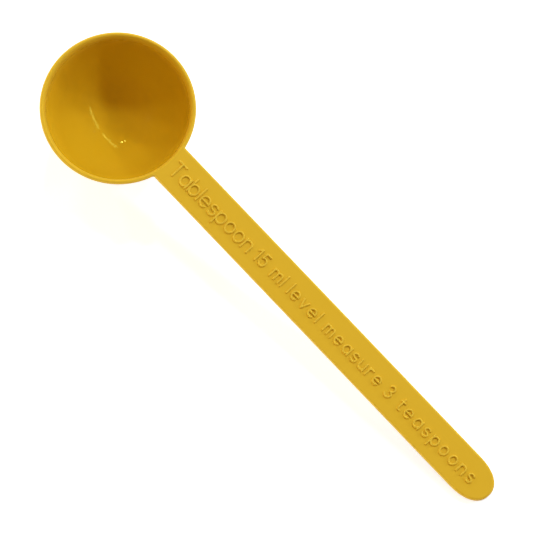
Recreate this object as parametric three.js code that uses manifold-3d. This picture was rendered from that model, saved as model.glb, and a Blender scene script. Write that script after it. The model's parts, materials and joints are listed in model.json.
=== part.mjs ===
// Kitchen measuring scoop: a hemispherical bowl with a beaded rim and a long flat handle.
// Sizes are in millimetres. +Z is up and +X runs from the bowl towards the tip of the handle.
// The scoop lies as it does on a table, on the underside of its bowl and on the tip of its handle.
import * as THREE from "three";
import { mergeVertices } from "three/addons/utils/BufferGeometryUtils.js";
import Module from "manifold-3d";

// Driving dimensions of the bowl: a half sphere of this radius holds 15 ml, one tablespoon
const bowlInnerRadius = 19.28;
const bowlWall = 1.1;

// Driving dimensions of the rim: a bead round the mouth, with its own rounded edges
const rimWidth = 1.5;
const rimHeight = 1.2;
const rimInnerRound = 1;
const rimOuterRound = 0.45;
const rimLowerRound = 0.3;

// Driving dimensions of the handle: a flat strip with a blunt round tip, level with the rim
const handleReach = 143; // from the bowl's axis to the tip
const handleWidth = 11.3;
const handleThickness = 1.8;
const handleEdgeRound = 0.55;
const tipLength = 9.4; // the stretch in which the straight sides close to the tip
const tipFullness = 2.3; // 2 would close the tip as an ellipse, and more makes it blunter

// Clearance at the seams between the bowl, the rim and the handle
const seamGap = 0.3;

// Looks: one plastic, polished inside the bowl and satin on the handle
const yellow = 0xd8ad2d;
const bowlRoughness = 0.25;
const rimRoughness = 0.3;
const handleRoughness = 0.35;

// Facets
const turnFacets = 64;
const bowlFacets = 16;
const roundFacets = 3;
const tipFacets = 22;
const weldDistance = 1e-4;

// Sizes that follow from the driving dimensions
const bowlOuterRadius = bowlInnerRadius + bowlWall;
const rimOuterRadius = bowlInnerRadius + rimWidth;
const seatDepth = rimHeight + seamGap;
const rootRadius = rimOuterRadius + seamGap;

const wasm = await Module();
wasm.setup();

// Points of an arc from one angle to another, both ends included, in the (radius, height) plane.
function arcPoints(centreX, centreY, radius, fromAngle, toAngle, facets) {
  return Array.from({ length: facets + 1 }, (_, i) => {
    const angle = fromAngle + ((toAngle - fromAngle) * i) / facets;
    return new THREE.Vector2(
      centreX + radius * Math.cos(angle),
      centreY + radius * Math.sin(angle),
    );
  });
}

// A closed profile in the (radius, height) plane, turned round the +Z axis.
function turned(profile) {
  return new THREE.LatheGeometry(profile, turnFacets).rotateX(Math.PI / 2);
}

// The solid inside a closed geometry, for cutting.
function solidOf(geometry) {
  const bare = geometry.clone().deleteAttribute("normal").deleteAttribute("uv");
  const merged = mergeVertices(bare, weldDistance);
  return new wasm.Manifold(
    new wasm.Mesh({
      numProp: 3,
      vertProperties: merged.getAttribute("position").array,
      triVerts: new Uint32Array(merged.index.array),
    }),
  );
}

// The geometry of a solid after cutting.
function geometryOf(solid) {
  const mesh = solid.getMesh();
  const geometry = new THREE.BufferGeometry();
  geometry.setAttribute("position", new THREE.BufferAttribute(mesh.vertProperties, mesh.numProp));
  geometry.setIndex(new THREE.BufferAttribute(mesh.triVerts, 1));
  geometry.computeVertexNormals();
  return geometry;
}

// Each piece has its own glossy yellow plastic.
function piece(name, geometry, roughness) {
  const plastic = new THREE.MeshStandardMaterial({ color: yellow, roughness, metalness: 0 });
  const mesh = new THREE.Mesh(geometry, plastic);
  mesh.name = name;
  return mesh;
}

// Bowl: a shell between two concentric half spheres, cut off level under the rim.
function makeBowl() {
  const straightDown = -Math.PI / 2;
  const outerEdge = -Math.asin(seatDepth / bowlOuterRadius);
  const innerEdge = -Math.asin(seatDepth / bowlInnerRadius);
  const profile = [
    ...arcPoints(0, 0, bowlOuterRadius, straightDown, outerEdge, bowlFacets),
    ...arcPoints(0, 0, bowlInnerRadius, innerEdge, straightDown, bowlFacets),
  ];
  return piece("bowl", turned(profile), bowlRoughness);
}

// Rim: a bead that carries the bowl's inner sphere up to the mouth, rounds over to a level crown
// and overhangs the bowl's outer wall a little.
function makeRim() {
  const innerRoundCentre = Math.sqrt((bowlInnerRadius + rimInnerRound) ** 2 - rimInnerRound ** 2);
  const tangentAngle = Math.atan2(rimInnerRound, innerRoundCentre);
  const footAngle = Math.asin(rimHeight / bowlInnerRadius);
  const outerRoundCentre = rimOuterRadius - rimOuterRound;
  const lowerRoundCentre = rimOuterRadius - rimLowerRound;
  const up = Math.PI / 2;
  const left = Math.PI;
  const profile = [
    ...arcPoints(0, 0, bowlInnerRadius, -tangentAngle, -footAngle, 1),
    ...arcPoints(lowerRoundCentre, rimLowerRound - rimHeight, rimLowerRound, -up, 0, roundFacets),
    ...arcPoints(outerRoundCentre, -rimOuterRound, rimOuterRound, 0, up, roundFacets),
    ...arcPoints(innerRoundCentre, -rimInnerRound, rimInnerRound, up, left - tangentAngle, roundFacets),
  ];
  return piece("rim", turned(profile), rimRoughness);
}

// Outline of the handle from above: straight sides that close to the tip along a superellipse.
function handleOutline() {
  const halfWidth = handleWidth / 2;
  const tipStart = handleReach - tipLength;
  const power = 2 / tipFullness;
  const outline = new THREE.Shape();
  outline.moveTo(0, -halfWidth);
  for (let i = 0; i <= tipFacets; i++) {
    const angle = Math.PI * (i / tipFacets - 0.5);
    const along = Math.abs(Math.cos(angle)) ** power;
    const across = Math.sign(Math.sin(angle)) * Math.abs(Math.sin(angle)) ** power;
    outline.lineTo(tipStart + tipLength * along, halfWidth * across);
  }
  outline.lineTo(0, halfWidth);
  outline.closePath();
  return outline;
}

// Handle: a strip with rounded edges, cut off round the outside of the rim at its root by a
// drum that stands one thickness past both of the strip's faces.
function makeHandle() {
  const strip = new THREE.ExtrudeGeometry(handleOutline(), {
    depth: handleThickness - 2 * handleEdgeRound,
    bevelThickness: handleEdgeRound,
    bevelSize: handleEdgeRound,
    bevelOffset: -handleEdgeRound,
    bevelSegments: roundFacets,
  });
  strip.translate(0, 0, handleEdgeRound - handleThickness);
  const above = handleThickness;
  const below = -2 * handleThickness;
  const bowlSpace = turned([
    new THREE.Vector2(0, below),
    new THREE.Vector2(rootRadius, below),
    new THREE.Vector2(rootRadius, above),
    new THREE.Vector2(0, above),
  ]);
  const cut = solidOf(strip).subtract(solidOf(bowlSpace));
  return piece("handle", geometryOf(cut), handleRoughness);
}

// Tilt at which the bowl and the lower edge of the tip touch the same level surface. With the
// bowl's centre at its own radius above that surface, the centre of the tip's lower round lies
// one round above it: reach * sin(tilt) + drop * cos(tilt) = fall.
function restTilt() {
  const reach = handleReach - handleEdgeRound;
  const drop = handleThickness - handleEdgeRound;
  const fall = bowlOuterRadius - handleEdgeRound;
  return Math.asin(fall / Math.hypot(reach, drop)) - Math.atan2(drop, reach);
}

// The scoop, with the origin at the bottom centre of its bounding box.
const scoop = new THREE.Group();
const lying = new THREE.Group();
lying.add(makeBowl(), makeRim(), makeHandle());
lying.rotation.y = restTilt();
scoop.add(lying);
const box = new THREE.Box3().setFromObject(scoop, true);
const middle = box.getCenter(new THREE.Vector3());
lying.position.set(-middle.x, -middle.y, -box.min.z);

export default scoop;
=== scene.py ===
# %% [markdown]
# A yellow measuring scoop.
# The real scoop is one plastic moulding: a half-round bowl that holds a level tablespoon, a bead
# round its mouth, and a long flat handle level with the bead, with raised marks on it. The packed
# CAD part fixes the sizes and the place of everything. This lesson lays finer surfaces over it,
# gives them a plastic finish, and sets up a table, lamps and a camera.

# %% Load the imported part
import json
import math

import bpy
import numpy as np
from mathutils import Matrix


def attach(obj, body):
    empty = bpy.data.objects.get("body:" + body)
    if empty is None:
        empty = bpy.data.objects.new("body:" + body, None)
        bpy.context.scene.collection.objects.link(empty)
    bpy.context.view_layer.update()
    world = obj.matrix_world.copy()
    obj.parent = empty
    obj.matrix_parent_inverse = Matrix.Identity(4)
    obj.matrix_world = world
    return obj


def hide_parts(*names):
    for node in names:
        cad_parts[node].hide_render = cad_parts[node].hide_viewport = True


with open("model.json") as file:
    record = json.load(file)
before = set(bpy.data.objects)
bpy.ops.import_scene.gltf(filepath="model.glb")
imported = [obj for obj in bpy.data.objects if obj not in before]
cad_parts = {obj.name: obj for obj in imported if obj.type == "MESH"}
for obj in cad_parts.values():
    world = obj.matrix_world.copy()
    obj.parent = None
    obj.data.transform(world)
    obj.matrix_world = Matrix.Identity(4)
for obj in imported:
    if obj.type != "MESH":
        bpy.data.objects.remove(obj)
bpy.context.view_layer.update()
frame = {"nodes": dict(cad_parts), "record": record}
print("CAD nodes:", sorted(frame["nodes"]))

# %% [markdown]
# The scoop's own axes.
# The scoop lies on a table, on the underside of its bowl and on the tip of its handle, so it slopes
# a little. Shapes are easier to write along the scoop itself: x from the middle of the mouth towards
# the tip, y across, z up out of the mouth, in millimetres. The record names the handle's face and
# the direction that it looks in, which gives the slope, and the CAD rim gives the middle of the
# mouth. Every point goes through place() on its way into a mesh.

# %% The scoop's own axes
MM = 0.001

handle_face = next(m for m in frame["record"]["mounts"] if m["name"] == "handle_face")
up = np.array(handle_face["axis"])
along = np.array([up[2], 0.0, -up[0]])
across = np.cross(up, along)
axes = np.stack([along, across, up])


def cad_corners(node):
    """Lowest and highest corner of a CAD node, measured along the scoop's own axes, in mm."""
    vertices = frame["nodes"][node].data.vertices
    points = np.empty(3 * len(vertices), np.float32)
    vertices.foreach_get("co", points)
    turned = points.reshape(-1, 3) @ axes.T / MM
    return turned.min(0), turned.max(0)


rim_low, rim_high = cad_corners("rim")
mouth = np.array([rim_low[0] + rim_high[0], rim_low[1] + rim_high[1], 2 * rim_high[2]]) / 2


def place(points):
    """Points along the scoop's own axes, in mm, brought to the frame's axes, in metres."""
    return (points + mouth) @ axes * MM


print("slope in degrees:", round(math.degrees(math.asin(up[0])), 2))

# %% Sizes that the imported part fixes
handle_low, handle_high = cad_corners("handle")
bowl_low, _ = cad_corners("bowl")
rim_radius = (rim_high[1] - rim_low[1]) / 2
rim_height = rim_high[2] - rim_low[2]
bowl_outer_radius = mouth[2] - bowl_low[2]
handle_half_width = (handle_high[1] - handle_low[1]) / 2
handle_thickness = handle_high[2] - handle_low[2]
handle_reach = handle_high[0] - mouth[0]
print("rim radius, handle reach, half width, thickness in mm:", np.round(
    [rim_radius, handle_reach, handle_half_width, handle_thickness], 3))

# %% [markdown]
# From arrays to a piece.
# Each piece is an array of points and an array of faces, worked out with numpy. One helper puts them
# into a mesh, smooths the shading except across real corners, and ties the piece to the CAD body. It
# prints the volume inside the faces: a positive volume means that they all point outwards.

# %% From arrays to a piece
import bmesh

CORNER = math.radians(50)


def make_piece(name, points, faces):
    """A mesh object with these points (mm, scoop's axes) and faces, riding on the CAD body."""
    mesh = bpy.data.meshes.new(name)
    mesh.from_pydata(place(points), [], faces)
    mesh.shade_smooth()
    mesh.set_sharp_from_angle(angle=CORNER)
    piece = bpy.data.objects.new(name, mesh)
    bpy.context.scene.collection.objects.link(piece)
    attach(piece, "root")
    solid = bmesh.new()
    solid.from_mesh(mesh)
    open_edges = sum(not edge.is_manifold for edge in solid.edges)
    volume = solid.calc_volume(signed=True) / MM**3
    print(f"{name}: {len(faces)} faces, {volume:.1f} mm3, {open_edges} open edges")
    solid.free()
    return piece


def bow(centre_x, centre_y, radius_x, radius_y, start, end, steps):
    """Points of an elliptical arc between two angles in degrees, both ends included."""
    angle = np.radians(np.linspace(start, end, steps + 1))
    return np.stack([centre_x + radius_x * np.cos(angle), centre_y + radius_y * np.sin(angle)], 1)


# %% [markdown]
# The bowl and its rim.
# Both are turned shapes with the same axis, so one section does for them. It starts at the bottom of
# the inside, climbs the half sphere to the mouth, goes over the rounded bead and comes back down the
# outside. A Screw modifier could turn it. Here the section is a row of (radius, height) points on arcs
# of circles, and of an ellipse where the bead rolls over into the bowl. The surface is their product
# with a circle, so the rounds that catch the light are exact.

# %% The section of the bowl and its rim
BOWL_INNER_RADIUS = 19.28
RIM_INNER_ROUND = 1.05
RIM_INNER_DROP = 2.8
RIM_OUTER_ROUND = 0.58
RIM_LOWER_ROUND = 0.3
SPHERE_STEPS = 56
ROUND_STEPS = 12
FINE_ROW = 5000


def inner_round_end():
    """Angle at which the bead's inner round meets the inner sphere, and the sphere's angle there.

    The round is part of an ellipse that is deeper than it is wide. At each of its angles there is
    one point of the sphere that faces the same way. The two meet where they are equally deep, which
    is read off a fine row of angles.
    """
    angle = np.linspace(0, np.pi / 2, FINE_ROW, endpoint=False)
    sphere_angle = np.arctan(RIM_INNER_ROUND / RIM_INNER_DROP * np.tan(angle))
    too_deep = BOWL_INNER_RADIUS * np.sin(sphere_angle) - RIM_INNER_DROP * (1 - np.sin(angle))
    return np.degrees(np.interp(0, too_deep, angle)), np.degrees(np.interp(0, too_deep, sphere_angle))


def bowl_section():
    """Section from the middle of the inside to the middle of the underside, as (radius, height)."""
    round_end, touch = inner_round_end()
    round_centre = (BOWL_INNER_RADIUS * math.cos(math.radians(touch))
                    + RIM_INNER_ROUND * math.cos(math.radians(round_end)))
    foot = math.degrees(math.asin(rim_height / bowl_outer_radius))
    lower_height = RIM_LOWER_ROUND - rim_height
    inside = bow(0, 0, BOWL_INNER_RADIUS, BOWL_INNER_RADIUS, -90, -touch, SPHERE_STEPS)
    inner_round = bow(round_centre, -RIM_INNER_DROP, RIM_INNER_ROUND, RIM_INNER_DROP,
                      180 - round_end, 90, 2 * ROUND_STEPS)
    print(f"the bead's crown is flat for {rim_radius - RIM_OUTER_ROUND - round_centre:.3f} mm")
    outer_round = bow(rim_radius - RIM_OUTER_ROUND, -RIM_OUTER_ROUND, RIM_OUTER_ROUND,
                      RIM_OUTER_ROUND, 90, 0, ROUND_STEPS)
    lower_round = bow(rim_radius - RIM_LOWER_ROUND, lower_height, RIM_LOWER_ROUND,
                      RIM_LOWER_ROUND, 0, -90, ROUND_STEPS)
    outside = bow(0, 0, bowl_outer_radius, bowl_outer_radius, -foot, -90, SPHERE_STEPS)
    return np.concatenate([inside, inner_round[1:], outer_round, lower_round, outside])


section = bowl_section()
print("section of the bowl and its rim:", len(section), "points")

# %% Turn the section
TURN_STEPS = 192
MM3_IN_ML = 1000


def turned_surface(section):
    """Points (r cos a, r sin a, h) for every section point (r, h) and angle a, and their faces.

    The first and last section points lie on the axis: each is one vertex, with a fan round it.
    """
    angle = np.linspace(0, 2 * np.pi, TURN_STEPS, endpoint=False)
    radius, height = section[1:-1, :1], section[1:-1, 1:]
    rings = np.stack([radius * np.cos(angle), radius * np.sin(angle), height + 0 * angle], -1)
    poles = np.array([[0, 0, section[0, 1]], [0, 0, section[-1, 1]]])
    points = np.concatenate([rings.reshape(-1, 3), poles])
    index = np.arange(rings.shape[0] * TURN_STEPS).reshape(-1, TURN_STEPS)
    beside = np.roll(index, -1, 1)
    quads = np.stack([index[:-1], index[1:], beside[1:], beside[:-1]], -1).reshape(-1, 4)
    first = np.full(TURN_STEPS, len(points) - 2)
    last = np.full(TURN_STEPS, len(points) - 1)
    inner_fan = np.stack([first, index[0], beside[0]], 1)
    outer_fan = np.stack([last, beside[-1], index[-1]], 1)
    return points, quads.tolist() + inner_fan.tolist() + outer_fan.tolist()


bowl = make_piece("bowl_with_rim", *turned_surface(section))
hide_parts("bowl", "rim")
capacity = 2 / 3 * math.pi * BOWL_INNER_RADIUS**3 / MM3_IN_ML
print(f"the half sphere holds {capacity:.2f} ml")

# %% [markdown]
# The handle's outline.
# Seen from above, the handle is a strip. At its root it flares into the bead with a small fillet, as
# moulded corners do, and at its tip the straight sides close along a superellipse, which is a little
# blunter than an ellipse. Only the half on +y is worked out, with the direction that faces out of the
# plastic at each point. The other half is its mirror image.

# %% The handle's outline
ROOT_FILLET = 0.45
ROOT_BITE = 0.03
TIP_LENGTH = 9.4
TIP_FULLNESS = 2.3
FILLET_STEPS = 12
STRAIGHT_STEPS = 64
TIP_STEPS = 56


def handle_outline():
    """Points and outward directions of the half outline on +y, from the root to the tip.

    The fillet is an arc that touches the straight side and bites a hair into the bead's circle. The
    tip is (x/a)^n + (y/b)^n = 1, whose gradient gives its outward direction.
    """
    side_y = handle_half_width + ROOT_FILLET
    fillet_reach = rim_radius + ROOT_FILLET - ROOT_BITE
    fillet_x = math.sqrt(fillet_reach**2 - side_y**2)
    towards_bowl = -180 + math.degrees(math.atan2(side_y, fillet_x))
    fillet = bow(fillet_x, side_y, ROOT_FILLET, ROOT_FILLET, towards_bowl, -90, FILLET_STEPS)
    fillet_out = (np.array([fillet_x, side_y]) - fillet) / ROOT_FILLET

    tip_start = handle_reach - TIP_LENGTH
    straight_x = np.linspace(fillet_x, tip_start, STRAIGHT_STEPS + 1)[1:]
    straight = np.stack([straight_x, np.full(STRAIGHT_STEPS, handle_half_width)], 1)
    straight_out = np.tile([0.0, 1.0], (STRAIGHT_STEPS, 1))

    angle = np.linspace(np.pi / 2, 0, TIP_STEPS + 1)[1:]
    share = np.stack([np.cos(angle), np.sin(angle)], 1) ** (2 / TIP_FULLNESS)
    size = np.array([TIP_LENGTH, handle_half_width])
    tip = np.array([tip_start, 0]) + size * share
    tip_out = share ** (TIP_FULLNESS - 1) / size
    tip_out /= np.linalg.norm(tip_out, axis=1, keepdims=True)
    return (np.concatenate([fillet, straight, tip]),
            np.concatenate([fillet_out, straight_out, tip_out]))


outline, outward = handle_outline()
print("half outline of the handle:", len(outline), "points")

# %% [markdown]
# The handle's body.
# Its edges are rounded above and below, and its faces are flat. A bevelled extrusion would do, but its
# corners at the root would not follow the bead. So one closed ring of points is carried along the
# outline: across the upper face, round one edge, back across the lower face and round the other edge.
# Near the root the rows bend into arcs about the bowl, so that the end of the handle is buried in the
# bead. The upper face lies a hair under the bead's crown, which leaves the fine line that shows where
# the bead crosses the root.

# %% Rings along the handle
HANDLE_EDGE_ROUND = 0.55
FACE_DROP = 0.012
ROW_STEPS = 14
# Distance from the bowl's axis at which the rows run straight
ROOT_ROWS_END = 34.0


def edge_section():
    """The rounded edge from the upper face to the lower, as (distance in from the outline, height)."""
    top, bottom = -FACE_DROP, -handle_thickness
    size = HANDLE_EDGE_ROUND
    upper = bow(0, top - size, -size, size, 90, 0, ROUND_STEPS)
    lower = bow(0, bottom + size, -size, size, 0, -90, ROUND_STEPS)
    return np.concatenate([upper, lower]) + np.array([size, 0])


def handle_surface(outline, outward):
    """The ring of the handle's section, carried along the outline from the root to the tip.

    A ring holds the upper row from +y to -y, the edge on -y downwards, the lower row back and the
    edge on +y upwards. Rows are straight, with a share of the arc sqrt(R^2 - y^2) near the root.
    """
    inset, height = edge_section().T
    edge = outline[:, None, :] - outward[:, None, :] * inset[None, :, None]
    edge = np.concatenate([edge, np.broadcast_to(height[None, :, None], edge.shape[:2] + (1,))], 2)
    other_edge = edge * np.array([1, -1, 1])

    row_share = np.linspace(1, -1, ROW_STEPS + 1)[1:-1]
    row_end = edge[:, :1, :]
    row_y = row_end[..., 1] * row_share
    bury = rim_radius - HANDLE_EDGE_ROUND
    swell = np.sqrt(bury**2 - row_y**2) - np.sqrt(bury**2 - row_end[..., 1] ** 2)
    bend = np.clip((ROOT_ROWS_END - outline[:, :1]) / (ROOT_ROWS_END - outline[0, 0]), 0, 1)
    row_x = row_end[..., 0] + bend**2 * swell
    upper = np.stack([row_x, row_y, np.full_like(row_x, height[0])], -1)
    lower = np.stack([row_x, row_y, np.full_like(row_x, height[-1])], -1)[:, ::-1]
    rings = np.concatenate([upper, other_edge, lower, edge[:, ::-1]], 1)
    return rings, len(inset)


rings, edge_count = handle_surface(outline, outward)
print("rings along the handle:", rings.shape[0], "with", rings.shape[1], "points each")

# %% The handle's body


def closed_loft(rings, edge_count):
    """Quads between neighbouring rings, and a cap on the first one.

    The cap joins the upper row to the lower row, and closes each edge with one flat face. The last
    ring has folded onto one line, so its points on -y give way to their twins on +y.
    """
    stations, ring_size = rings.shape[:2]
    index = np.arange(stations * ring_size).reshape(stations, ring_size)
    row_count = ring_size // 2 - edge_count
    folded = index[-1]
    upper_row = folded[:row_count]
    far_edge = folded[row_count:row_count + edge_count]
    lower_row = folded[row_count + edge_count:2 * row_count + edge_count]
    near_edge = folded[2 * row_count + edge_count:]
    near_down = near_edge[::-1].copy()
    far_edge[:] = near_down
    upper_row[:] = near_down[0]
    lower_row[:] = near_down[-1]
    beside = np.roll(index, -1, 1)
    quads = np.stack([index[:-1], beside[:-1], beside[1:], index[1:]], -1).reshape(-1, 4)
    start = index[0]
    upper_start = np.concatenate([start[-1:], start[:row_count + 1]])
    lower_start = start[row_count + edge_count - 1:2 * row_count + edge_count + 1][::-1]
    cap = np.stack([upper_start[1:], upper_start[:-1], lower_start[:-1], lower_start[1:]], 1)
    faces = [list(dict.fromkeys(face)) for face in quads.tolist() + cap.tolist()]
    faces.append(start[row_count:row_count + edge_count][::-1].tolist())
    faces.append(start[2 * row_count + edge_count:][::-1].tolist())
    return rings.reshape(-1, 3), [face for face in faces if len(face) > 2]


points, faces = closed_loft(rings, edge_count)
used, compact = np.unique(np.concatenate(faces), return_inverse=True)
ends = np.cumsum([len(face) for face in faces])[:-1]
handle = make_piece("handle_strip", points[used], [f.tolist() for f in np.split(compact, ends)])
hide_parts("handle")

# %% [markdown]
# Raised marks on the handle.
# Moulded scoops carry their measure in raised letters along the handle. Blender's text objects give
# letters with flat fronts and sharp sides, while moulded letters are soft ridges. So each letter is a
# set of pen strokes, lines and arcs in units of its own height, and the ridge is a height field over a
# fine grid: its height depends only on the distance to the nearest stroke.

# %% Pen strokes
X_HEIGHT = 0.7
LOOP_WIDTH = 0.62
WIDE_ARCH, NARROW_ARCH = 0.27, 0.21
ARC_STEPS = 28


def line(*corners):
    """A pen stroke through these corners, given as x, y, x, y and so on."""
    return np.array(corners, float).reshape(-1, 2)


def arc(centre_x, centre_y, radius_x, radius_y, start, end):
    """A pen stroke along part of an ellipse."""
    return bow(centre_x, centre_y, radius_x, radius_y, start, end, ARC_STEPS)


def loop(end):
    """The round part of a, b, e, o and p: an ellipse from its right side round to this angle."""
    half_width, half_height = LOOP_WIDTH / 2, X_HEIGHT / 2
    return arc(half_width, half_height, half_width, half_height, 0, end)


def arch(left, radius):
    """A half circle up to the x-height and over, and the leg that it comes down to."""
    right, spring = left + 2 * radius, X_HEIGHT - radius
    return [arc(left + radius, spring, radius, radius, 180, 0), line(right, 0, right, spring)]


full_loop = loop(360)
short_stem = line(0, 0, 0, X_HEIGHT)
tall_stem = line(0, 0, 0, 1)
print("loop of the round letters, width and height:", LOOP_WIDTH, X_HEIGHT)

# %% Letters
letters = {
    "T": [line(0, 1, 0.66, 1), line(0.33, 0, 0.33, 1)],
    "a": [full_loop, line(LOOP_WIDTH, 0, LOOP_WIDTH, X_HEIGHT)],
    "b": [full_loop, tall_stem],
    "e": [line(0, X_HEIGHT / 2, LOOP_WIDTH, X_HEIGHT / 2), loop(312)],
    "l": [tall_stem],
    "m": [short_stem, *arch(0, NARROW_ARCH), *arch(2 * NARROW_ARCH, NARROW_ARCH)],
    "n": [short_stem, *arch(0, WIDE_ARCH)],
    "o": [full_loop],
    "p": [full_loop, line(0, -0.3, 0, X_HEIGHT)],
    "r": [short_stem, arc(0.26, 0.44, 0.26, 0.26, 180, 65)],
    "s": [arc(0.24, 0.525, 0.22, 0.175, 35, 270), arc(0.24, 0.175, 0.24, 0.175, 90, -150)],
    "t": [line(0.16, 0.94, 0.16, 0.16), arc(0.32, 0.16, 0.16, 0.16, 180, 285),
          line(0, X_HEIGHT, 0.36, X_HEIGHT)],
    "u": [line(0, X_HEIGHT, 0, WIDE_ARCH), arc(WIDE_ARCH, WIDE_ARCH, WIDE_ARCH, WIDE_ARCH, 180, 360),
          line(2 * WIDE_ARCH, X_HEIGHT, 2 * WIDE_ARCH, 0)],
    "v": [line(0, X_HEIGHT, 0.29, 0, 0.58, X_HEIGHT)],
    "1": [line(0, 0.78, 0.24, 1, 0.24, 0)],
    "3": [arc(0.26, 0.75, 0.23, 0.25, 150, -90), arc(0.26, 0.25, 0.27, 0.25, 90, -150)],
    "5": [line(0.5, 1, 0.1, 1, 0.08, 0.56), arc(0.26, 0.31, 0.28, 0.31, 128, -148)],
}
print("letters drawn:", "".join(letters))

# %% [markdown]
# From strokes to ridges.
# The ridge has a narrow flat top, and flanks that fall along a quarter of a cosine. The flanks run on
# a little under the handle's face, so that they meet it at a clear angle. Grid squares that lie wholly
# below are left out, and a floor and walls close each letter underneath, inside the handle.

# %% From strokes to ridges
MARK_HEIGHT = 0.42
MARK_TOP = 0.1
MARK_FLANK = 0.22
# The flanks run on under the face, to this many times their width
MARK_SUNK = 1.35
MARK_REACH = MARK_TOP + MARK_SUNK * MARK_FLANK


def stroke_distance(x, y, strokes):
    """Distance from each grid point to the nearest stroke, piece by straight piece.

    On each piece the nearest point is the foot of the perpendicular, held between the two ends.
    """
    starts = np.concatenate([stroke[:-1] for stroke in strokes])
    runs = np.concatenate([np.diff(stroke, axis=0) for stroke in strokes])
    away = np.stack([x, y], -1)[..., None, :] - starts
    share = np.clip((away * runs).sum(-1) / (runs**2).sum(-1), 0, 1)
    return np.linalg.norm(away - share[..., None] * runs, axis=-1).min(-1)


def ridge(distance):
    """Height over the handle's face: full on the flat top, then a quarter cosine and a bit more."""
    fall = np.clip((distance - MARK_TOP) / MARK_FLANK, 0, MARK_SUNK)
    return MARK_HEIGHT * np.cos(np.pi / 2 * fall)


print(f"strokes of the marks: {2 * (MARK_TOP + MARK_FLANK):.2f} mm wide at the foot")

# %% Closed letters
MARK_GRID = 0.06
MARK_FLOOR = 0.25


def closed_slab(quads, count):
    """A sheet of quads made a closed slab: the sheet, its copy turned over and a wall between.

    The wall stands on the edges that only one quad uses. The copy's vertices follow the sheet's.
    """
    edges = np.stack([quads, np.roll(quads, -1, 1)], -1).reshape(-1, 2)
    keys = np.sort(edges, 1) @ np.array([count, 1])
    _, first, uses = np.unique(keys, return_index=True, return_counts=True)
    border = edges[first[uses == 1]]
    wall = np.concatenate([border[:, ::-1], border + count], 1)
    return np.concatenate([quads, quads[:, ::-1] + count, wall])


def close_corners(kept):
    """Kept squares of a grid, with the gaps filled where two of them touch only at a corner."""
    low_left, low_right, up_left, up_right = kept[:-1, :-1], kept[:-1, 1:], kept[1:, :-1], kept[1:, 1:]
    rising = low_left & up_right & ~low_right & ~up_left
    falling = low_right & up_left & ~low_left & ~up_right
    low_right |= rising
    low_left |= falling
    return kept


def letter_solid(strokes):
    """A closed ridge along these strokes, which are in mm on the handle's face."""
    margin = MARK_REACH + 2 * MARK_GRID
    low = np.min([stroke.min(0) for stroke in strokes], 0) - margin
    high = np.max([stroke.max(0) for stroke in strokes], 0) + margin
    x, y = np.meshgrid(np.arange(low[0], high[0], MARK_GRID), np.arange(low[1], high[1], MARK_GRID))
    distance = stroke_distance(x, y, strokes)
    index = np.arange(x.size).reshape(x.shape)
    quads = np.stack([index[:-1, :-1], index[:-1, 1:], index[1:, 1:], index[1:, :-1]], -1)
    raised = close_corners(distance.ravel()[quads].min(-1) < MARK_REACH)
    used, quads = np.unique(quads[raised], return_inverse=True)
    sheet = np.stack([x.ravel(), y.ravel(), ridge(distance).ravel() - FACE_DROP], 1)[used]
    floor = sheet.copy()
    floor[:, 2] = -MARK_FLOOR - FACE_DROP
    return np.concatenate([sheet, floor]), closed_slab(quads.reshape(-1, 4), len(sheet))


# %% The words and their places
WORD_GAP = 0.5
# Name, text, start in mm from the bowl's axis, height of the letters in mm, space between them
marks = [
    ("mark_tablespoon", "Tablespoon", 21.9, 4.15, 0.2),
    ("mark_volume", "15 ml", 53.9, 3.5, 0.3),
    ("mark_level", "level measure", 67.0, 3.3, 0.37),
    ("mark_teaspoons", "3 teaspoons", 104.2, 3.4, 0.41),
]


def word_solid(text, start, size, gap):
    """The letters of a text in a row, from this distance to the bowl's axis, as one mesh.

    The spaces between letters and between words are shares of the letters' height.
    """
    points, faces, count, pen = [], [], 0, start
    for letter in text:
        if letter == " ":
            pen += WORD_GAP * size
            continue
        drawn = letters[letter]
        strokes = [stroke * size + np.array([pen, -size / 2]) for stroke in drawn]
        solid, quads = letter_solid(strokes)
        points.append(solid)
        faces.append(quads + count)
        count += len(solid)
        pen += (max(stroke[:, 0].max() for stroke in drawn) + gap) * size
    print(f"{text}: from {start} to {pen - gap * size:.1f} mm")
    return np.concatenate(points), np.concatenate(faces).tolist()


mark_pieces = [make_piece(name, *word_solid(*spec)) for name, *spec in marks]

# %% [markdown]
# Shader maths.
# Materials are graphs of nodes. Long chains of Math nodes are hard to read, so one small class wraps a
# socket: arithmetic on it adds the Math nodes, and add() makes any other node, with its settings
# first and then the values or links of its inputs.

# %% Shader maths


class Wire:
    """An output socket in a node tree. Arithmetic on it adds Math nodes, add() any other node."""

    def __init__(self, tree, socket=None):
        self.tree = tree
        self.socket = socket

    def add(self, kind, settings=(), inputs=(), output=0):
        """A node of this kind, with its settings, then its inputs, as a wire from one output."""
        node = self.tree.nodes.new(kind)
        for name, value in dict(settings).items():
            setattr(node, name, value)
        for name, value in dict(inputs).items():
            if isinstance(value, Wire):
                self.tree.links.new(value.socket, node.inputs[name])
            else:
                node.inputs[name].default_value = value
        return Wire(self.tree, node.outputs[output] if node.outputs else None)

    def math(self, operation, first, second):
        """A Math node that does this to two wires or numbers."""
        return self.add("ShaderNodeMath", {"operation": operation}, {0: first, 1: second})

    def __add__(self, other):
        return self.math("ADD", self, other)

    def __sub__(self, other):
        return self.math("SUBTRACT", self, other)

    def __rsub__(self, other):
        return self.math("SUBTRACT", other, self)

    def __mul__(self, other):
        return self.math("MULTIPLY", self, other)

    __radd__ = __add__
    __rmul__ = __mul__


def blank(owner):
    """The empty node tree of a material or a world, as a wire with no socket yet."""
    owner.use_nodes = True
    owner.node_tree.nodes.clear()
    return Wire(owner.node_tree)


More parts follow.
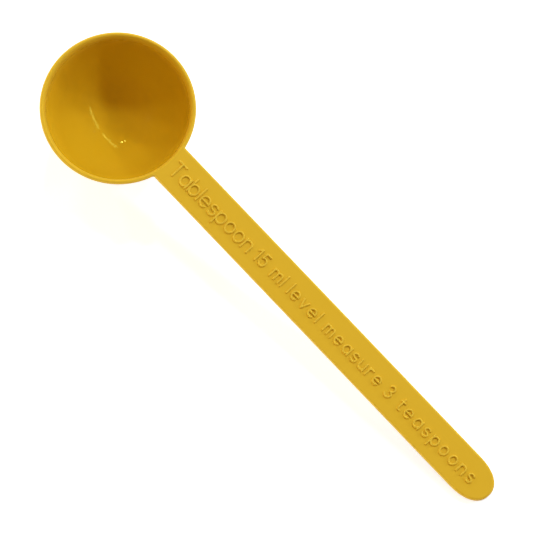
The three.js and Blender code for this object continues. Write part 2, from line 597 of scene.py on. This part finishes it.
# %% [markdown]
# The plastic.
# The scoop is one warm yellow polypropylene, coloured all through. The tool that made it was polished
# for the inside of the bowl, so that powder slides out, and left satin everywhere else. Light and shade
# are also painted into the yellow: the polished inside is deeper than the satin, partly from the polish
# and partly as painted shade; the outer edge of the bead, the sides of the handle and the tops of the
# marks are paler, a painted highlight; and the foot of each mark is deeper, painted shade. Each of
# these could be a material of its own, but on the real scoop they fade into each other. So every piece
# has a finish: a function that turns a place on the scoop into three shares from 0 to 1, which say how
# satin the plastic is there, how pale it is painted and how much painted highlight it carries.

# %% Finishes
# Polish turns to satin between these distances past the inner sphere, and between these depths
POLISH_PAST, SATIN_PAST = 0.05, 0.47
POLISH_DEPTH, SATIN_DEPTH = 6.0, 0.6
# Widths of the bands in which the painted highlight on the edges sets in
BEAD_HIGHLIGHT_BAND = 0.4
SIDE_HIGHLIGHT_BAND = 0.6
mouth_middle = place(np.zeros(3))
print("middle of the mouth in metres:", np.round(mouth_middle, 4).tolist())


def measure(wire, operation, other=(0, 0, 0)):
    """A number from a Vector Math node: the length of a vector, or its dot product with another."""
    return wire.add("ShaderNodeVectorMath", {"operation": operation}, {0: wire, 1: other}, "Value")


def ramp(wire, low, high):
    """0 below one size in mm and 1 above another, with a straight rise between them."""
    return wire.add("ShaderNodeMapRange",
                    inputs={"Value": wire, "From Min": low * MM, "From Max": high * MM})


def bowl_finish(away):
    """Polished inside, satin outside and near the mouth, with a painted highlight that makes the bead's
    outer edge paler, and a deeper yellow inside that is partly the polish and partly painted shade.

    The inside of a half sphere is nearer to the middle of the mouth than all the rest. The distance
    from the bowl's axis is the length of the cross product with the axis.
    """
    outside = ramp(measure(away, "LENGTH"), BOWL_INNER_RADIUS + POLISH_PAST,
                   BOWL_INNER_RADIUS + SATIN_PAST)
    near_mouth = ramp(measure(away, "DOT_PRODUCT", up), -POLISH_DEPTH, -SATIN_DEPTH)
    satin = away.math("MAXIMUM", outside, near_mouth)
    turned = away.add("ShaderNodeVectorMath", {"operation": "CROSS_PRODUCT"}, {0: away, 1: up})
    # Painted highlight: the bead's outer edge turns paler
    painted_highlight = ramp(measure(turned, "LENGTH"), rim_radius - BEAD_HIGHLIGHT_BAND, rim_radius)
    # The satin share is also the paleness: the inside is a deeper yellow, partly from the polish and
    # partly as painted shade
    return satin, satin, painted_highlight


def handle_finish(away):
    """Satin, with a painted highlight that makes both sides paler."""
    sideways = away.math("ABSOLUTE", measure(away, "DOT_PRODUCT", across), 0)
    # Painted highlight: both sides of the handle turn paler
    return 1.0, 1.0, ramp(sideways, handle_half_width - SIDE_HIGHLIGHT_BAND, handle_half_width)


def mark_finish(away):
    """Satin, with painted shade that deepens the colour at the foot of the ridges and a painted
    highlight on their tops.
    """
    # Painted shade at the foot and painted highlight on the top both follow the height
    top = ramp(measure(away, "DOT_PRODUCT", up), 0, MARK_HEIGHT)
    return 1.0, top, top


# %% [markdown]
# From a finish to a material.
# Small things keep the plastic from looking like paint: pigment that is not quite evenly mixed, faint
# streaks where it flowed along the handle, a fine grain in the satin, and hairline scratches from use.
# All of them are noise at different scales, drawn out along the handle for streaks and hairlines.

# %% Colours, gloss and noise of the plastic
# The deep yellow also serves as painted shade, and the last yellow is a painted highlight colour
YELLOW_DEEP = (0.7, 0.415, 0.012, 1)
YELLOW_PALE = (0.75, 0.475, 0.033, 1)
YELLOW_PAINTED_HIGHLIGHT = (0.77, 0.53, 0.055, 1)
# Index of refraction, and the share of its mirroring that is kept: 0.5 would keep all of it
PLASTIC_IOR = 1.46
MIRROR = 0.25
# Roughness of the two ends of the finish
POLISHED = 0.08
SATIN = 0.36
EVEN = (1, 1, 1)
DRAWN_OUT = (0.06, 1, 1)
PIGMENT = {"scale": 90, "detail": 3, "stretch": EVEN}
STREAKS = {"scale": 260, "detail": 4, "stretch": DRAWN_OUT}
HAIRLINES = {"scale": 900, "detail": 1, "stretch": DRAWN_OUT}
GRAIN = {"scale": 4000, "detail": 2, "stretch": EVEN}
# What the full swing of each noise adds to the paleness, to the roughness and to the height
PIGMENT_PALENESS = 0.3
STREAK_PALENESS = 0.2
STREAK_ROUGHNESS = 0.08
HAIRLINE_ROUGHNESS = 0.1
GRAIN_DEPTH = 0.012 * MM
print("roughness:", POLISHED, "polished and", SATIN, "satin")

# %% From a finish to a material
NOISE_MEAN = 0.5
# Numbers of the sockets that a Mix node uses for colours
MIX_FACTOR, MIX_A, MIX_B, MIX_RESULT = 0, 6, 7, 2


def plastic(name, finish):
    """Yellow plastic with this finish, whose shares paint light and shade into the colour."""
    material = bpy.data.materials.new(name)
    start = blank(material)
    where = start.add("ShaderNodeTexCoord", output="Object")
    away = start.add("ShaderNodeVectorMath", {"operation": "SUBTRACT"}, {0: where, 1: mouth_middle})
    satin, painted_light_share, painted_highlight = finish(away)

    def noise(scale, detail, stretch):
        """Noise around 0 with this scale, drawn out along an axis where the stretch is small."""
        spread = start.add("ShaderNodeMapping", inputs={"Vector": where, "Scale": stretch})
        spots = start.add("ShaderNodeTexNoise",
                          inputs={"Vector": spread, "Scale": scale, "Detail": detail})
        return spots - NOISE_MEAN

    def blend(share, first, second, clamped):
        """A colour between two others, and past them if it is not clamped."""
        return start.add("ShaderNodeMix", {"data_type": "RGBA", "clamp_factor": clamped},
                         {MIX_FACTOR: share, MIX_A: first, MIX_B: second}, MIX_RESULT)

    streaks = noise(**STREAKS)
    # Painted shade and painted highlight enter the colour here, together with the pigment's own uneven
    # tone
    tone_and_painted_light = painted_light_share + noise(**PIGMENT) * PIGMENT_PALENESS + streaks * STREAK_PALENESS
    colour = blend(painted_highlight, blend(tone_and_painted_light, YELLOW_DEEP, YELLOW_PALE, False), YELLOW_PAINTED_HIGHLIGHT, True)
    wear = streaks * STREAK_ROUGHNESS + noise(**HAIRLINES) * HAIRLINE_ROUGHNESS
    grain = noise(**GRAIN) * satin
    bump = start.add("ShaderNodeBump", inputs={"Height": grain, "Distance": GRAIN_DEPTH})
    shader = start.add("ShaderNodeBsdfPrincipled", inputs={
        "Base Color": colour, "Roughness": POLISHED + satin * (SATIN - POLISHED) + wear,
        "Normal": bump, "IOR": PLASTIC_IOR, "Specular IOR Level": MIRROR})
    start.add("ShaderNodeOutputMaterial", inputs={"Surface": shader})
    return material


# %% The plastic of each piece
# The bowl's and the handle's plastics carry painted highlights on their edges; the bowl's is also
# partly painted shade inside
bowl.data.materials.append(plastic("polished_yellow_plastic", bowl_finish))
handle.data.materials.append(plastic("satin_yellow_plastic", handle_finish))
mark_plastic = plastic("marks_plastic_with_painted_light", mark_finish)
for piece in mark_pieces:
    piece.data.materials.append(mark_plastic)
print("materials:", [material.name for material in bpy.data.materials])

# %% [markdown]
# The table.
# The scoop lies on a plain white table, here one flat sheet that reaches far past the picture. It takes
# the scoop's shadow. It looks white because it adds light of its own, which only the camera, mirror
# images and clear things see, so that it does not light the scoop. That light is a little blue, which
# balances the warm light of the room in the shadow.

# %% The table
TABLE_HALF = 1.1
TABLE_COLOUR = (0.88, 0.88, 0.88, 1)
TABLE_LIGHT = 0.74
TABLE_TINT = (0.75, 0.84, 1, 1)
corners = np.array([[-1, -1, 0], [1, -1, 0], [1, 1, 0], [-1, 1, 0]]) * TABLE_HALF
table_mesh = bpy.data.meshes.new("table_top")
table_mesh.from_pydata(corners.tolist(), [], [[0, 1, 2, 3]])
table_top = bpy.data.objects.new("table_top", table_mesh)
bpy.context.scene.collection.objects.link(table_top)


def ray(start, kind):
    """1 for rays of this kind and 0 for all others."""
    return start.add("ShaderNodeLightPath", output=f"Is {kind} Ray")


white = bpy.data.materials.new("white_table")
start = blank(white)
seen = ray(start, "Camera") + ray(start, "Glossy") + ray(start, "Transmission")
matt = start.add("ShaderNodeBsdfDiffuse", inputs={"Color": TABLE_COLOUR})
own_light = start.add("ShaderNodeEmission", inputs={"Color": TABLE_TINT, "Strength": TABLE_LIGHT})
lifted = start.add("ShaderNodeAddShader", inputs={0: matt, 1: own_light})
surface = start.add("ShaderNodeMixShader", inputs={0: seen, 1: matt, 2: lifted})
start.add("ShaderNodeOutputMaterial", inputs={"Surface": surface})
table_mesh.materials.append(white)
print("table:", 2 * TABLE_HALF, "m each way")

# %% [markdown]
# Lamps.
# The shading in the bowl tells where the light comes from: it is bright on one side, and a dark patch
# with a crisp edge lies past the middle. One large soft lamp would blur that edge. So the main light
# is a row of five small, slightly cool lamps, about halfway up on one side of the handle. Their
# strengths were found by rendering the bowl under one lamp at a time. Broad lamps fill the walls: three
# near the level, and one higher up on the other side of the handle. Amber lamps stand for light that
# the yellow plastic throws back at itself. The small ones of them, just over the level of the mouth,
# reach no further than the bead's inner round. Strips just under that level light outer edges only,
# which draws the fine bright line round the bead and along the handle. All of them light the plastic
# but are not mirrored in it: mirror images get lamps of their own.

# %% Which lamps, and where
SMALL = (0.1, 0.1)
BROAD = (0.26, 0.26)
STRIP = (0.08, 0.014)
COOL = (0.92, 1, 1.1)
NEUTRAL = (1, 1, 1)
AMBER = (1, 0.75, 0.3)
# Name, turn and height in degrees, size in metres, power in watts, colour
lamps = [
    ("row_lamp_1", 62, 40, SMALL, 3.25, COOL),
    ("row_lamp_2", 86, 45, SMALL, 2.0, COOL),
    ("row_lamp_3", 110, 40, SMALL, 2.2, COOL),
    ("row_lamp_4", 118, 50, SMALL, 2.6, COOL),
    ("row_lamp_5", 142, 50, SMALL, 2.35, COOL),
    ("low_fill_1", 55, 14, BROAD, 3.8, COOL),
    ("low_fill_2", 150, 14, BROAD, 3.1, COOL),
    ("low_fill_3", 210, 14, BROAD, 1.3, AMBER),
    ("near_fill", 220, 40, BROAD, 1.6, AMBER),
    ("brink_lamp_1", 210, 4, SMALL, 1.05, AMBER),
    ("brink_lamp_2", 240, 4, SMALL, 1.05, AMBER),
    ("brink_lamp_3", 270, 4, SMALL, 1.05, AMBER),
    ("edge_strip_1", 265, -0.4, STRIP, 6.5, NEUTRAL),
    ("edge_strip_2", 165, -0.4, STRIP, 5.2, NEUTRAL),
    ("edge_strip_3", 65, -0.4, STRIP, 5.2, NEUTRAL),
]
print("watts of all the lamps:", round(sum(power for *_, power, _ in lamps), 1))

# %% Hang the lamps
LAMP_DISTANCE = 1.4


def direction(turn, height):
    """Unit vector at this turn from x towards y and this height over the level, in degrees."""
    turn, height = math.radians(turn), math.radians(height)
    flat = math.cos(height)
    return np.array([flat * math.cos(turn), flat * math.sin(turn), math.sin(height)])


def set_up(thing, where, back, level):
    """Stand a lamp or camera at a point, looking against back, with its own x axis along level.

    Both directions are unit vectors, square to each other.
    """
    turn = np.eye(4)
    turn[:3] = np.stack([level, np.cross(back, level), back, where], 1)
    thing.matrix_world = Matrix(turn)
    bpy.context.scene.collection.objects.link(thing)


def hang_lamp(name, turn, height, size, power, colour, mirrored=False, slide=0.0):
    """An area lamp that faces the mouth from this turn and height, measured in the scoop's axes.

    It either lights the surfaces or is mirrored in them. Slide moves it along its own level axis.
    """
    data = bpy.data.lights.new(name, "AREA")
    data.shape = "RECTANGLE"
    data.size, data.size_y = size
    data.energy = power
    data.color = colour
    lamp = bpy.data.objects.new(name, data)
    lamp.visible_diffuse = not mirrored
    lamp.visible_glossy = mirrored
    lamp.visible_camera = False
    towards = direction(turn, height) @ axes
    level = np.cross(up, towards)
    level /= np.linalg.norm(level)
    set_up(lamp, mouth_middle + LAMP_DISTANCE * towards + slide * level, towards, level)


for lamp in lamps:
    hang_lamp(*lamp)
print("lamps that light the plastic:", len(lamps))

# %% [markdown]
# Mirror images.
# Two kinds of mirror image lie in the polished bowl: a fine arc in two parts, and a pair of dots. A
# half sphere bends the image of a straight lamp into such an arc, so two tubes hang in one line with a
# gap between them. Each dot is a small lamp. All of them are mirrored only, and light nothing.

# %% Mirror images
WARM = (0.9, 1, 0.15)
TUBE_TURN, TUBE_HEIGHT = 80, 55
TUBE_SIZE = (0.94, 0.075)
TUBE_POWER = 2.4
# How far each tube is moved along its line, in metres
tube_slides = {"tube_1": -0.43, "tube_2": 0.77}
BULB_SIZE = (0.05, 0.05)
# Name, turn and height in degrees, power in watts
bulbs = [("bulb_1", 147.0, 46.8, 0.66), ("bulb_2", 154.0, 46.9, 0.19)]

for name, slide in tube_slides.items():
    hang_lamp(name, TUBE_TURN, TUBE_HEIGHT, TUBE_SIZE, TUBE_POWER, WARM, True, slide)
for name, turn, height, power in bulbs:
    hang_lamp(name, turn, height, BULB_SIZE, power, WARM, True)
print("lamps that are mirrored:", len(tube_slides) + len(bulbs))

# %% [markdown]
# Light from all around.
# A room sends weak light from everywhere, warm like its walls. The polished bowl would turn milky if it
# mirrored all of that, so the room is dimmer in mirror images. Past the table the camera sees white.

# %% Light from all around
ROOM_COLOUR = (1, 0.8, 0.4, 1)
ROOM_LIGHT = 0.39
ROOM_MIRRORED = 0.05
WHITE = (1, 1, 1, 1)

world = bpy.data.worlds.new("room")
bpy.context.scene.world = world
start = blank(world)
room = start.add("ShaderNodeBackground", inputs={"Color": ROOM_COLOUR, "Strength": ROOM_LIGHT})
mirrored = start.add("ShaderNodeBackground", inputs={"Color": ROOM_COLOUR, "Strength": ROOM_MIRRORED})
backdrop = start.add("ShaderNodeBackground", inputs={"Color": WHITE, "Strength": 1})
unseen = start.add("ShaderNodeMixShader", inputs={0: ray(start, "Glossy"), 1: room, 2: mirrored})
seen = ray(start, "Camera") + ray(start, "Transmission")
around = start.add("ShaderNodeMixShader", inputs={0: seen, 1: unseen, 2: backdrop})
start.add("ShaderNodeOutputWorld", inputs={"Surface": around})
print("room light:", ROOM_LIGHT, "and in mirror images:", ROOM_MIRRORED)

# %% [markdown]
# The camera.
# The picture was taken almost straight down into the bowl, from far away: the sides of the handle stay
# parallel. So the camera stands three metres off with a long lens. Its direction is measured in the
# scoop's own axes, and a roll about the line of sight lays the handle along the picture's diagonal.

# %% The camera
# Angles in degrees, and the distance in metres
VIEW_TURN = -52.976
VIEW_HEIGHT = 76.010
VIEW_ROLL = 10.056
VIEW_DISTANCE = 3.0
# In mm: the picture's width, a point near the middle of the scoop, how far to its right and above it
# the middle of the picture lies, and the sensor's width
VIEW_WIDTH = 141.116
VIEW_MIDDLE = np.array([61.0, 0.0, -8.0])
VIEW_SLIDE = np.array([-2.05, 3.41])
SENSOR = 36.0

back = direction(VIEW_TURN, VIEW_HEIGHT)
level = np.cross([0, 0, 1], back)
level /= np.linalg.norm(level)
rise = np.cross(back, level)
roll = math.radians(VIEW_ROLL)
right = math.cos(roll) * level + math.sin(roll) * rise
top = np.cross(back, right)
target = place(VIEW_MIDDLE + VIEW_SLIDE[0] * right + VIEW_SLIDE[1] * top)

camera_data = bpy.data.cameras.new("camera")
camera_data.sensor_width = SENSOR
camera_data.lens = SENSOR * VIEW_DISTANCE / (VIEW_WIDTH * MM)
camera = bpy.data.objects.new("camera", camera_data)
set_up(camera, target + VIEW_DISTANCE * (back @ axes), back @ axes, right @ axes)
bpy.context.scene.camera = camera
bpy.context.scene.view_settings.view_transform = "Standard"
print(f"lens {camera_data.lens:.0f} mm")
